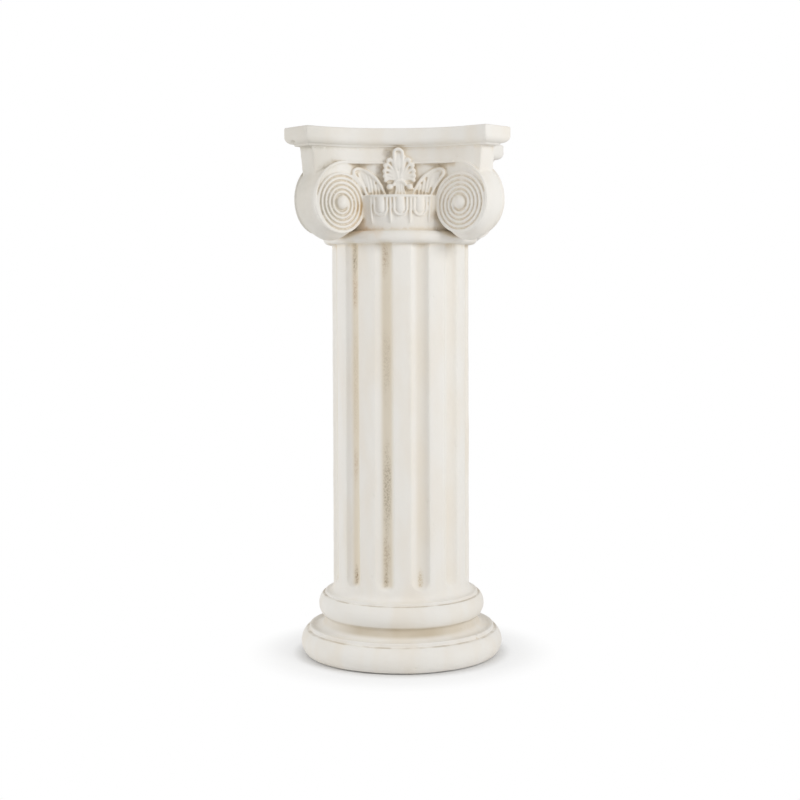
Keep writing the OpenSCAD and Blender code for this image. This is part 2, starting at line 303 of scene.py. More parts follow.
# A square block fills the capital between the bell and the slab, and is the ground of the carving.
canalis_out = 0.0970
block_overlap = 0.010
bpy.ops.object.select_all(action="DESELECT")
bpy.ops.mesh.primitive_cube_add(
    size=1.0, location=(0, 0, (canalis_z + bell_z) / 2),
    scale=(2 * canalis_out, 2 * canalis_out, canalis_z - bell_z + block_overlap))
neck = bpy.context.object
neck.name = "neck"
bpy.ops.object.transform_apply(location=True, scale=True)


# ---- The volutes ----
# A thick scroll under each corner, its two faces turned in a little towards the corner. On each
# face a rounded ridge winds in from the canalis to a domed eye, in arcs struck with compasses.

eye_z = top_z - 0.1074
eye_u = 0.1445
volute_half = 0.0255
splay = radians(5.5)
coil_r = 0.0420
ridge_pitch = 0.0066
ridge_r = 0.0022
ridge_proud = 0.0010
eye_r = 0.0108
eye_sink = 0.0020
volute_turn = radians(1.0)

# The scroll swells between its faces, more underneath, and not at its inner end or its top.
roll_swell = 0.0045
low_swell = 1.6
inner_end = -0.055
inner_foot = -0.004
swell_top = 0.045

# The sweep that leads into the coil rises above it by sweep_rise times its extra radius.
sweep_rise = 1.25
sweep_out = (canalis_z - eye_z - coil_r) / sweep_rise
sweep_arcs = 4
coil_arcs = 10

spiral = []
centre = Vector((0.0, 0.0))
for i in range(sweep_arcs + coil_arcs):
    if i < sweep_arcs:
        r = coil_r + sweep_out * ((sweep_arcs - i) / sweep_arcs) ** 4
        start, span = 90 - 90 * i, 90
    else:
        r = coil_r - ridge_pitch / 2 * (i - sweep_arcs)
        start, span = 90 - 180 * (i - sweep_arcs), 180
    if spiral:
        centre = centre + (spiral[-1][1] - r) * Vector((cos(radians(start)), sin(radians(start))))
    spiral.append((centre, r, start, span))
centre = spiral[-2][0]
spiral = [(c - centre, r, start, span) for c, r, start, span in spiral]
sweep_top = spiral[0][0].y + spiral[0][1]


def spiral_points(first, last, step_deg):
    """Points along the spiral's arcs first to last, about the eye, outwards and up."""
    points = []
    for c, r, start, span in spiral[first:last + 1]:
        steps = max(2, round(span / step_deg))
        points += arc(c.x, c.y, r, start, start - span, steps)[0 if not points else 1:]
    return points


def volute_ring(t):
    """The scroll's outline at t across its thickness, from -1 on one face to 1 on the other."""
    swell = roll_swell * cos(t * pi / 2)
    ring = []
    for x, z in [(inner_end, inner_foot), (inner_end, sweep_top)] + spiral_points(0, 2, 6):
        reach = max(sqrt(x * x + z * z), 1e-6)
        low = max(0.0, -z / reach) ** 3
        grow = 1.0 if x == inner_end or z > swell_top else 1 + swell * (1 + low_swell * low) / reach
        across = t * (volute_half - x * tan(splay))
        u, up = eye_u + x * grow, eye_z + z * grow
        ring.append(((u - across) / sqrt(2), -(u + across) / sqrt(2), up))
    return ring


def bead(name, points, radii):
    """A round cord of plaster along points, each with its own radius, with closed ends."""
    bpy.ops.object.select_all(action="DESELECT")
    line = bpy.data.curves.new(name, "CURVE")
    line.dimensions = "3D"
    line.bevel_depth = 1.0
    line.bevel_resolution = 3
    line.use_fill_caps = True
    spline = line.splines.new("POLY")
    spline.points.add(len(points) - 1)
    for point, place, radius in zip(spline.points, points, radii):
        point.co = (*place, 1.0)
        point.radius = radius
    piece = bpy.data.objects.new(name, line)
    scene.collection.objects.link(piece)
    only(piece)
    bpy.ops.object.convert(target="MESH")
    return bpy.context.object


def ball(place, radius, stretch=(1, 1, 1)):
    """A ball of plaster, stretched along the axes."""
    bpy.ops.object.select_all(action="DESELECT")
    bpy.ops.mesh.primitive_uv_sphere_add(
        segments=32, ring_count=20, radius=radius, location=place, scale=stretch)
    bpy.ops.object.transform_apply(location=True, rotation=False, scale=True)
    return bpy.context.object


eye_x = (eye_u - volute_half) / sqrt(2)
eye_out = (eye_u + volute_half) / sqrt(2)
face_turn = pi / 4 - splay


def on_volute(x, z, proud=0.0):
    """A point on the right-hand volute's front face, x outwards and z up from its eye."""
    return Vector((eye_x + x * cos(face_turn) - proud * sin(face_turn),
                   -eye_out - x * sin(face_turn) - proud * cos(face_turn), eye_z + z))


def ground(x):
    """How far out the carved ground of a face lies at x: the canalis, or a volute's face beside it."""
    return max(canalis_out, eye_out - (eye_x - abs(x)) * tan(face_turn))


volute = [lofted("scroll", [volute_ring(t) for t in np.linspace(-1, 1, 13)])]
winding = [on_volute(x, z, ridge_proud) for x, z in spiral_points(0, len(spiral) - 1, 7)]
front_ridge = bead("ridge", winding, [ridge_r] * len(winding))
front_eye = ball(on_volute(0, 0, -eye_sink), eye_r)
front = joined("front_ridge", [front_ridge, front_eye])

corner = Matrix.Rotation(-pi / 4, 4, "Z")
flip = corner @ Matrix.Scale(-1, 4, (0, 1, 0)) @ corner.inverted()


def copied(piece, matrix):
    """A copy of piece with its own mesh, moved by matrix and with its faces still outwards."""
    twin = piece.copy()
    twin.data = piece.data.copy()
    scene.collection.objects.link(twin)
    twin.data.transform(matrix)
    if matrix.determinant() < 0:
        twin.data.flip_normals()
    return twin


volute += [front, copied(front, flip)]

volute = joined("volute", volute)
volute.data.transform(Matrix.Rotation(volute_turn, 4, "Z"))
volutes = [copied(volute, Matrix.Rotation(k * pi / 2, 4, "Z")) for k in (1, 2, 3)]

# The one at the front right came out a little thinner, turned more to the front and further out.
slim = 0.88
twist = radians(4.0)
moved_out = Vector((0.0020, -0.0032, 0.0))
middle = Matrix.Translation((eye_u / sqrt(2), -eye_u / sqrt(2), 0.0))
thinned = Matrix.Scale(slim, 4, Vector((1.0, 1.0, 0.0)).normalized())
volute.data.transform(Matrix.Translation(moved_out) @ middle @ Matrix.Rotation(twist, 4, "Z")
                      @ thinned @ middle.inverted())
volutes.append(volute)

# A post at each corner carries the lower member's corner down onto the scroll.
inner_x = 0.0900
post_core = (0.050, -0.050)
post = []
for z in (tier_foot_z, canalis_z + 0.001):
    post_side = [(x, y) for x, y in tier(z) if x > inner_x]
    post_ring = post_side + [(-y, -x) for x, y in reversed(post_side)] + [post_core]
    post.append([(x, y, z) for x, y in post_ring])
post = lofted("post", post)

# The ridge runs on from one volute to the other along the lower member's edge.
band_steps = 25
band_end = eye_x + spiral[0][0].x * cos(face_turn) + 0.005
band_line = [Vector((x, -tier_front(x), canalis_z)) for x in np.linspace(-band_end, band_end, band_steps)]
band = bead("band", band_line, [ridge_r] * band_steps)

# The canalis under it slopes forward as it rises, and fades out towards the volutes.
canalis_deep = 0.0022
canalis_low_z = top_z - 0.0740
canalis_half = 0.060
fade_from = 0.062
fade_over = 0.026
wedge_back = 0.012
hollow = []
for x in np.linspace(-canalis_half, canalis_half, 31):
    fade = min(1.0, (fade_from - abs(x)) / fade_over)
    floor_y = ground(x)
    lip_y = floor_y + (tier_front(x) - canalis_deep - floor_y) * fade
    hollow.append([(x, -lip_y, canalis_z), (x, -floor_y, canalis_low_z),
                   (x, wedge_back - floor_y, canalis_low_z), (x, wedge_back - floor_y, canalis_z)])
hollow = lofted("canalis", hollow)


# ---- The eggs and darts ----
# Three eggs on each face of the bell, each in a beaded shell, with pointed darts between them.
# They were carved in the model for the mould and come out soft-edged.

egg_step = radians(15.0)
egg_turn = radians(2.0)
egg_r = 0.0063
egg_flat = 0.62
egg_proud = 0.0006
egg_drop = 0.0165
shell_r = 0.0093
shell_bead = 0.0019
shell_proud = 0.0012
dart_drop = 0.0370
dart_proud = 0.0008


def on_bell(x, z, proud=0.0):
    """A point on the front of the bell, x sideways along its skin at height z."""
    r = bell_radius(z)
    a = x / r
    return Vector(((r + proud) * sin(a), -(r + proud) * cos(a), z))


egg_low = egg_top - egg_drop
egg = ball(on_bell(0, egg_low, egg_proud), egg_r, (1.0, egg_flat, 1.0))
for vertex in egg.data.vertices:
    if vertex.co.z > egg_low + 1e-5:
        vertex.co.z = egg_top + 0.0005
        vertex.co.y += bell_radius(egg_low) - bell_radius(egg_top)
shell_outline = ([(-shell_r, egg_top)]
                 + [(-x, z) for x, z in arc(0, egg_low, shell_r, 0, -180, 18)]
                 + [(shell_r, egg_top)])
shell_line = [on_bell(x, z, shell_proud) for x, z in shell_outline]
shell = bead("shell", shell_line, [shell_bead] * len(shell_line))
dart_line = [(0.0, egg_top - dart_drop * t) for t in np.linspace(0, 1, 8)]
dart_size = [0.0021, 0.0019, 0.0018, 0.0018, 0.0021, 0.0022, 0.0017, 0.0008]
dart = bead("dart", [on_bell(x, z, dart_proud) for x, z in dart_line], dart_size)

one_egg = joined("egg", [egg, shell])
ledge_out = bell_top_r + bell_fillet
ledge_back = 0.104
ledge_arc = [1.5 * egg_step * t for t in np.linspace(-1.04, 1.04, 19)]
ledge_plan = ([(ledge_out * sin(a), -ledge_out * cos(a)) for a in ledge_arc]
              + [(ledge_back * sin(a), -ledge_back * cos(a)) for a in reversed(ledge_arc)])
ledge = lofted("ledge", [[(x, y, z) for x, y in ledge_plan] for z in (egg_top + 0.0004, bell_z + 0.0002)])
ledge.data.transform(Matrix.Rotation(egg_turn, 4, "Z"))
row = [ledge]
for i in (-1, 0, 1):
    row.append(copied(one_egg, Matrix.Rotation(egg_turn + egg_step * i, 4, "Z")))
for i in (-1.5, -0.5, 0.5, 1.5):
    row.append(copied(dart, Matrix.Rotation(egg_turn + egg_step * i, 4, "Z")))
for spare in (one_egg, dart):
    bpy.data.objects.remove(spare)
eggs = joined("eggs", row)


# ---- The palmette and the husks ----
# A fan of leaves stands on the bell in front of the canalis, tied by a collar over two small
# balls. On each side a husk, half an acanthus leaf, curls up against the volute.

collar_z = top_z - 0.0765
leaf_lean = 0.16
leaf_slant = 0.045
leaf_off = 0.0012
rim_proud = 0.0058
lobe_proud = 0.0052
vein_proud = 0.0050
stem_proud = 0.0060
face_shift = radians(0.8)


def face_point(x, z, proud):
    """A point on a face, x sideways from its middle, in front of the carved ground."""
    return Vector((x, -ground(x) - proud, z))


def leaf_point(x, z, proud):
    """A point of the palmette, which leans out as it rises."""
    rise = z - collar_z
    return Vector((x + leaf_off - rise * leaf_slant, -canalis_out - proud - max(rise, 0.0) * leaf_lean, z))


def bend(points, steps):
    """A smooth line through a start, a handle and an end."""
    (x0, z0), (x1, z1), (x2, z2) = points
    line = []
    for t in np.linspace(0, 1, steps):
        a, b, c = (1 - t) ** 2, 2 * t * (1 - t), t * t
        line.append((a * x0 + b * x1 + c * x2, a * z0 + b * z1 + c * z2))
    return line


ornament = []
leaf_half = 0.0062
leaf_top = collar_z + 0.0472
rim = ([(-0.0018, collar_z)] + bend([(-0.0026, collar_z + 0.010), (-0.0066, collar_z + 0.024),
                                     (-leaf_half, leaf_top - leaf_half)], 6)
       + arc(0, leaf_top - leaf_half, leaf_half, 165, 90, 6))
rim += [(-x, z) for x, z in reversed(rim[:-1])]
rim_size = [0.0015] * 3 + [0.0024] * (len(rim) - 6) + [0.0015] * 3
ornament.append(bead("leaf_rim", [leaf_point(x, z, rim_proud) for x, z in rim], rim_size))
leaf_belly = (0.95, 0.50, 2.3)
ornament.append(ball(leaf_point(0.0, collar_z + 0.0325, 0.0042), leaf_half, leaf_belly))
vein = [(0.0, collar_z + 0.002 + 0.032 * t) for t in np.linspace(0, 1, 8)]
vein_size = [0.0012, 0.0014, 0.0015, 0.0016, 0.0017, 0.0018, 0.0017, 0.0012]
ornament.append(bead("leaf_vein", [leaf_point(x, z, vein_proud) for x, z in vein], vein_size))

lobes = [((0.0082, 0.0375), (0.0150, 0.0315)), ((0.0135, 0.0310), (0.0200, 0.0238)),
         ((0.0162, 0.0222), (0.0216, 0.0160)), ((0.0165, 0.0140), (0.0216, 0.0090)),
         ((0.0150, 0.0068), (0.0204, 0.0026))]
for side in (-1, 1):
    for i, (handle, tip) in enumerate(lobes):
        line = bend([(side * 0.0026, collar_z + 0.0022 - 0.0004 * i),
                     (side * handle[0], collar_z + handle[1]), (side * tip[0], collar_z + tip[1])], 10)
        size = [0.0010 + 0.0023 * t for t in np.linspace(0, 1, 10)]
        ornament.append(bead("lobe", [leaf_point(x, z, lobe_proud) for x, z in line], size))
        ornament.append(ball(leaf_point(side * tip[0], collar_z + tip[1] - 0.0005, 0.0054), 0.0034))

# The ground between the lobes, from the collar's height, and down to the bell.
backing = [(0.0, -0.0195), (0.0170, -0.0195), (0.0185, -0.0060), (0.0195, 0.0010), (0.0215, 0.0080),
           (0.0212, 0.0185), (0.0190, 0.0265), (0.0140, 0.0340), (0.0075, 0.0400), (0.0050, 0.0450),
           (0.0, 0.0460)]
backing += [(-x, z) for x, z in reversed(backing[1:-1])]
ornament.append(lofted("backing", [[leaf_point(x, collar_z + z, proud) for x, z in backing]
                                   for proud in (-0.004, 0.0042)]))

collar = arc(0, collar_z - 0.0082, 0.0098, 168, 12, 12)
ornament.append(bead("collar", [leaf_point(x, z, 0.0074) for x, z in collar], [0.0022] * len(collar)))
stem_step = 0.0034
stem_line = ((0.9, collar_z + 0.001), (1.0, collar_z - 0.010), (1.45, bell_z - 0.001))
for side in (-1.5, -0.5, 0.5, 1.5):
    stem = [(side * stem_step * spread, z) for spread, z in stem_line]
    ornament.append(bead("stem", [leaf_point(x, z, stem_proud) for x, z in stem], [0.0017, 0.0018, 0.0023]))
for side in (-1, 1):
    ornament.append(ball(leaf_point(side * 0.0146, collar_z - 0.0076, 0.0062), 0.0052))

husk_outer = [(0.0201, -0.001), (0.0238, 0.0082), (0.0290, 0.0175), (0.0360, 0.0259), (0.0448, 0.0327),
              (0.0537, 0.0374), (0.0606, 0.0385), (0.0655, 0.0356), (0.0662, 0.0298), (0.0615, 0.0239),
              (0.0556, 0.0160), (0.0500, 0.0062), (0.0470, 0.0)]
husk_size = [0.0024, 0.0027, 0.0029, 0.0030, 0.0030, 0.0029, 0.0028, 0.0027, 0.0026, 0.0025, 0.0024,
             0.0022, 0.0018]
husk_proud = 0.0034
husk_lobe_proud = 0.0028
husk_ground = (-0.0060, 0.0016)
husk_lobes = [[(0.0606, 0.0318), (0.0560, 0.0230), (0.0492, 0.0080)],
              [(0.0560, 0.0335), (0.0520, 0.0250), (0.0465, 0.0120)],
              [(0.0505, 0.0318), (0.0462, 0.0200), (0.0430, 0.0020)],
              [(0.0445, 0.0285), (0.0408, 0.0160), (0.0388, 0.0015)],
              [(0.0380, 0.0235), (0.0352, 0.0130), (0.0338, 0.0015)],
              [(0.0318, 0.0165), (0.0295, 0.0080), (0.0284, 0.0010)]]


def smooth_line(points, steps):
    """A smooth line through all of points."""
    knots = [Vector(p) for p in points]
    knots = [2 * knots[0] - knots[1]] + knots + [2 * knots[-1] - knots[-2]]
    line = []
    for a, b, c, d in zip(knots, knots[1:], knots[2:], knots[3:]):
        for s in range(steps):
            t = s / steps
            line.append(0.5 * (2 * b + (c - a) * t + (2 * a - 5 * b + 4 * c - d) * t * t
                               + (3 * b - a - 3 * c + d) * t * t * t))
    return line + [knots[-2]]


for side in (-1, 1):
    floor_line = [(side * x, bell_z + z) for x, z in husk_outer][::side]
    ornament.append(lofted("husk_floor", [[face_point(x, z, proud) for x, z in floor_line]
                                          for proud in husk_ground]))
    line = smooth_line([(x, z, r) for (x, z), r in zip(husk_outer, husk_size)], 4)
    ornament.append(bead("husk", [face_point(side * x, bell_z + z, husk_proud) for x, z, r in line],
                         [r for x, z, r in line]))
    for lobe in husk_lobes:
        line = bend(lobe, 8)
        size = [0.0012 + 0.0008 * sin(pi * t) for t in np.linspace(0.08, 0.92, 8)]
        ornament.append(bead("husk_lobe", [face_point(side * x, bell_z + z, husk_lobe_proud)
                                           for x, z in line], size))
ornament = joined("ornament", ornament)
ornament.data.transform(Matrix.Rotation(face_shift, 4, "Z"))


# ---- The casting ----
# Everything above came out of the mould as one piece of plaster: the parts are run together, the
# skin is softened as a cast is, and the pits and knocks that it has picked up are pressed in.

face_parts = joined("face_parts", [post, band, hollow, eggs, ornament])
quarters = [copied(face_parts, Matrix.Rotation(k * pi / 2, 4, "Z")) for k in (1, 2, 3)]
column = joined("column_casting", [shaft, bell, abacus, neck, face_parts] + quarters + volutes)

# One skin with cells of 0.9 mm is laid over all the parts, and its edges are softened.
voxel = 0.0009
remesh = column.modifiers.new("one_skin", "REMESH")
remesh.mode = "VOXEL"
remesh.voxel_size = voxel
soften = column.modifiers.new("soften", "SMOOTH")
soften.factor = 0.5
soften.iterations = 1

# It isn't quite even: it sags by up to 0.5 mm over 60 mm, and ripples by 0.2 mm over 12 mm.
for name, size, strength in (("sag", 0.060, 0.0010), ("ripple", 0.012, 0.0004)):
    cloud = bpy.data.textures.new(name, "CLOUDS")
    cloud.noise_scale = size
    wave = column.modifiers.new(name, "DISPLACE")
    wave.texture = cloud
    wave.texture_coords = "LOCAL"
    wave.strength = strength
    wave.mid_level = 0.5
apply_all(column)


def rows(items, name):
    """The vectors called name of all items, one row each."""
    flat = np.empty(len(items) * 3)
    items.foreach_get(name, flat)
    return flat.reshape(-1, 3)


places = rows(column.data.vertices, "co")
normals = rows(column.data.vertex_normals, "vector")
luck = np.random.default_rng(7)

# Each knock has a place, a radius and a depth: six that show, and small pits all over.
knocks = [((-0.149, -0.137, top_z - 0.0215), 0.0050, 0.0030),
          ((-0.145, -0.142, top_z - 0.0265), 0.0036, 0.0022),
          ((-0.066, -0.103, ring_z + 0.003), 0.0034, 0.0016),
          ((0.076, -0.094, ring_z - 0.003), 0.0040, 0.0018),
          ((0.083, -0.088, ring_z + 0.001), 0.0030, 0.0014),
          ((0.117, -0.085, 0.0385), 0.0034, 0.0016)]
pit_count = 150
for i in range(pit_count):
    chosen = places[luck.integers(len(places))]
    knocks.append((tuple(chosen), luck.uniform(0.0012, 0.0026), luck.uniform(0.0004, 0.0011)))
for centre, radius, depth in knocks:
    away = np.linalg.norm(places - np.array(centre), axis=1) / radius
    near = away < 1
    places[near] -= normals[near] * (depth * (1 - away[near] ** 2) ** 2)[:, None]
places[:, 2] = np.clip(places[:, 2], 0.0, top_z)
column.data.vertices.foreach_set("co", places.ravel())
column.data.update()

# A piece may have 200,000 triangles, so the flat stretches are thinned out.
most_triangles = 190000
thin = column.modifiers.new("thin", "DECIMATE")
thin.ratio = min(1.0, most_triangles / (2 * len(column.data.polygons)))
apply_all(column)
column.data.validate()
only(column)
bpy.ops.object.shade_smooth_by_angle(angle=radians(70))


# ---- The finish ----
# Matt ivory paint over plaster, rubbed with a thin brown wash that was wiped off again. The wash
# stays in the hollows, in the flutes and as a few darker runs. Painted shade is laid into the colour
# with it: in the hollows, on the flutes' floors, in the scotia and on the capital's left side.

def hollows(piece, reach, rays):
    """Writes how closed in each point of piece is, from 0 on an open face to 1 deep in a groove."""
    mesh = piece.data
    count = len(mesh.vertices)
    at = rows(mesh.vertices, "co")
    up = rows(mesh.vertex_normals, "vector")
    side = np.cross(up, np.where(np.abs(up[:, 2:3]) < 0.9, (0.0, 0.0, 1.0), (1.0, 0.0, 0.0)))
    side /= np.linalg.norm(side, axis=1)[:, None]
    across = np.cross(up, side)
    tree = BVHTree.FromPolygons([tuple(p) for p in at], [tuple(p.vertices) for p in mesh.polygons])
    lift = 0.0006
    start = at + up * lift
    closed = np.zeros(count)
    for k in range(rays):
        rise = sqrt(1 - (k + 0.5) / rays)
        flat = sqrt(1 - rise * rise)
        turn = k * pi * (3 - sqrt(5))
        aim = side * (flat * cos(turn)) + across * (flat * sin(turn)) + up * rise
        for v in range(count):
            hit = tree.ray_cast(start[v], aim[v], reach)[3]
            if hit is not None:
                closed[v] += 1 - hit / reach
    attribute = mesh.attributes.new("closed_in", "FLOAT", "POINT")
    attribute.data.foreach_set("value", (closed / rays).astype(np.float32))


ray_reach = 0.022
ray_count = 14
hollows(column, ray_reach, ray_count)


def linear(code):
    """A hex sRGB colour as linear RGBA."""
    parts = [int(code[i:i + 2], 16) / 255 for i in (1, 3, 5)]
    return (*[c / 12.92 if c <= 0.04045 else ((c + 0.055) / 1.055) ** 2.4 for c in parts], 1.0)


def add(owner, kind, settings=None, inputs=None, output=0):
    """Adds a node to a material or the world, with its settings, numbers and links, and gives an output."""
    made = owner.node_tree.nodes.new("ShaderNode" + kind)
    for name, value in (settings or {}).items():
        setattr(made, name, value)
    for name, value in (inputs or {}).items():
        if isinstance(value, bpy.types.NodeSocket):
            owner.node_tree.links.new(value, made.inputs[name])
        else:
            made.inputs[name].default_value = value
    return made.outputs[output]


times = {"operation": "MULTIPLY"}
times_plus = {"operation": "MULTIPLY_ADD"}
plus = {"operation": "ADD"}
minus = {"operation": "SUBTRACT"}
unsigned = {"operation": "ABSOLUTE"}
larger = {"operation": "MAXIMUM"}
smooth = {"interpolation_type": "SMOOTHSTEP"}
colours = {"data_type": "RGBA"}

# Emulsion on gypsum plaster is matt and chalky: a wide, weak shine, and a grain as fine as dust.
plaster = bpy.data.materials.new("ivory_painted_plaster")
plaster.use_nodes = True
shader = plaster.node_tree.nodes["Principled BSDF"]
shader.inputs["Roughness"].default_value = 0.78
shader.inputs["Specular IOR Level"].default_value = 0.35
place = add(plaster, "TexCoord", output="Object")
closed_in = add(plaster, "Attribute", {"attribute_name": "closed_in"}, output="Fac")

# The paint is a little uneven in patches of 38 mm, drawn out down the column by the brush.
drawn_out = 0.32
brushed = add(plaster, "Mapping", None, {"Vector": place, "Scale": (1.0, 1.0, drawn_out)})
patches = add(plaster, "TexNoise", None, {"Vector": brushed, "Scale": 1 / 0.038, "Detail": 2.0})
patches = add(plaster, "MapRange", smooth, {"Value": patches, 1: 0.35, 2: 0.75})
paint = add(plaster, "Mix", colours, {0: patches, 6: linear("#eeebe5"), 7: linear("#ece6dc")}, 2)

# Where the surface is closed in, the wash and painted shade darken it: thinly on any closed-in face, and
# darker, in patches of 22 mm, in the grooves.
soft = add(plaster, "MapRange", smooth, {"Value": closed_in, 1: 0.05, 2: 0.34})
creased = add(plaster, "MapRange", smooth, {"Value": closed_in, 1: 0.16, 2: 0.36})
deep = add(plaster, "MapRange", smooth, {"Value": closed_in, 1: 0.26, 2: 0.58})
wash_and_shade_patches = add(plaster, "TexNoise", None, {"Vector": place, "Scale": 1 / 0.022, "Detail": 3.0})
wash_and_shade_patches = add(plaster, "MapRange", smooth, {"Value": wash_and_shade_patches, 1: 0.40, 2: 0.64, 3: 0.06, 4: 0.28})
deep_wash_and_shade = add(plaster, "Math", times, {0: deep, 1: wash_and_shade_patches})
for code, where, strength in (("#dfcfb3", soft, 0.50), ("#b3a286", creased, 0.14), ("#94794f", deep_wash_and_shade, 1.0)):
    amount = add(plaster, "Math", times, {0: where, 1: strength})
    paint = add(plaster, "Mix", colours, {0: amount, 6: paint, 7: linear(code)}, 2)

# Wash and painted shade darken the flutes' floors, a little towards the wall in the key lamp's shade, and
# most on the front left ones, on the column's shaded side.
# A point's share of a flute's pitch runs from 0 to 1, and the floor lies at floor_share.
x, y, z = [add(plaster, "SeparateXYZ", None, {"Vector": place}, axis) for axis in "XYZ"]
floor_share = 0.57
angle = add(plaster, "Math", {"operation": "ARCTAN2"}, {0: y, 1: x})
angle = add(plaster, "Math", plus, {0: angle, 1: 4 * pi - flute_turn})
share = add(plaster, "Math", {"operation": "DIVIDE"}, {0: angle, 1: 2 * pi / flute_count})
share = add(plaster, "Math", {"operation": "FRACT"}, {0: share})
off_floor = add(plaster, "Math", minus, {0: share, 1: floor_share})
off_floor = add(plaster, "Math", unsigned, {0: off_floor})
below_ring = add(plaster, "MapRange", smooth, {"Value": z, 1: ring_z - 0.002, 2: ring_z - 0.014})
above_base = add(plaster, "MapRange", smooth, {"Value": z, 1: 0.116, 2: 0.124})
on_shaft = add(plaster, "Math", times, {0: below_ring, 1: above_base})
wide = add(plaster, "MapRange", smooth, {"Value": off_floor, 1: 0.24, 2: 0.08})
wide = add(plaster, "Math", times, {0: wide, 1: on_shaft})
on_left = add(plaster, "MapRange", smooth, {"Value": x, 1: 0.055, 2: -0.020, 3: 0.14, 4: 0.58})
amount = add(plaster, "Math", times, {0: wide, 1: on_left})
paint = add(plaster, "Mix", colours, {0: amount, 6: paint, 7: linear("#d6c7ab")}, 2)

# Down the middle of those floors the wash has dried in ragged, grainy marks: place, radius, colour,
# strength.
flute_marks = [((-0.066, -0.074, 0.612), 0.0130, "#8d7c62", 0.80),
               ((-0.066, -0.074, 0.565), 0.0150, "#b28f68", 0.55),
               ((-0.066, -0.074, 0.430), 0.0420, "#b5a283", 0.30),
               ((-0.066, -0.074, 0.305), 0.0140, "#b59673", 0.40),
               ((-0.066, -0.074, 0.130), 0.0085, "#8a6c45", 0.85),
               ((-0.021, -0.097, 0.612), 0.0120, "#a28560", 0.60),
               ((-0.021, -0.097, 0.455), 0.0260, "#a89a84", 0.32),
               ((-0.019, -0.097, 0.270), 0.0300, "#97886c", 0.62),
               ((-0.020, -0.097, 0.165), 0.0160, "#a38c6b", 0.50),
               ((-0.020, -0.097, 0.128), 0.0075, "#8f7753", 0.70),
               ((0.031, -0.094, 0.129), 0.0080, "#b09357", 0.60)]
strip = add(plaster, "MapRange", smooth, {"Value": off_floor, 1: 0.17, 2: 0.06})
strip = add(plaster, "Math", times, {0: strip, 1: on_shaft})
grains = add(plaster, "TexNoise", None, {"Vector": place, "Scale": 1 / 0.0024, "Detail": 3.0})
grains = add(plaster, "MapRange", smooth, {"Value": grains, 1: 0.40, 2: 0.66, 3: 0.30, 4: 1.0})
strip = add(plaster, "Math", times, {0: strip, 1: grains})
streaks = add(plaster, "TexNoise", None, {"Vector": brushed, "Scale": 1 / 0.008, "Detail": 4.0})
for (mark_x, mark_y, mark_z), radius, code, strength in flute_marks:
    centre = (mark_x, mark_y, mark_z * drawn_out)
    away = add(plaster, "VectorMath", {"operation": "DISTANCE"}, {0: brushed, 1: centre}, "Value")
    ragged = add(plaster, "Math", times_plus, {0: streaks, 1: radius * 0.9, 2: away})
    mark = add(plaster, "MapRange", smooth,
               {"Value": ragged, 1: radius * 1.35, 2: radius * 0.60, 4: strength})
    mark = add(plaster, "Math", times, {0: mark, 1: strip})
    paint = add(plaster, "Mix", colours, {0: mark, 6: paint, 7: linear(code)}, 2)

# The scotia of the base is darkened with painted shade, as under the upper roll's overhang, most in the
# middle of the front and back and less towards the sides, in patches of 60 mm.
scotia_z = 0.0555
off_scotia = add(plaster, "Math", minus, {0: z, 1: scotia_z})
off_scotia = add(plaster, "Math", unsigned, {0: off_scotia})
in_scotia = add(plaster, "MapRange", smooth, {"Value": off_scotia, 1: 0.0105, 2: 0.0040, 4: 0.66})
from_right = add(plaster, "MapRange", smooth, {"Value": x, 1: 0.120, 2: 0.040, 3: 0.40, 4: 1.0})
from_left = add(plaster, "MapRange", smooth, {"Value": x, 1: -0.100, 2: -0.045, 3: 0.40, 4: 1.0})
scotia_shade_patches = add(plaster, "TexNoise", None, {"Vector": place, "Scale": 1 / 0.060, "Detail": 2.0})
scotia_shade_patches = add(plaster, "MapRange", smooth, {"Value": scotia_shade_patches, 1: 0.35, 2: 0.65, 3: 0.72, 4: 1.0})
for where in (from_right, from_left, scotia_shade_patches):
    in_scotia = add(plaster, "Math", times, {0: in_scotia, 1: where})
paint = add(plaster, "Mix", colours, {0: in_scotia, 6: paint, 7: linear("#b8a582")}, 2)

# Thin broken lines are left on the edges of the fillets: height and half width.
lines = 0.0
for line_z, half in ((0.0947, 0.0007), (0.0391, 0.0008), (0.0625, 0.0008)):
    off_line = add(plaster, "Math", minus, {0: z, 1: line_z})
    off_line = add(plaster, "Math", unsigned, {0: off_line})
    line = add(plaster, "MapRange", smooth, {"Value": off_line, 1: half, 2: half * 0.4, 4: 0.42})
    lines = add(plaster, "Math", larger, {0: lines, 1: line})
broken = add(plaster, "TexNoise", None, {"Vector": place, "Scale": 1 / 0.034, "Detail": 3.0})
broken = add(plaster, "MapRange", smooth, {"Value": broken, 1: 0.38, 2: 0.62, 3: 0.12, 4: 1.0})
lines = add(plaster, "Math", times, {0: lines, 1: broken})
paint = add(plaster, "Mix", colours, {0: lines, 6: paint, 7: linear("#9a845f")}, 2)

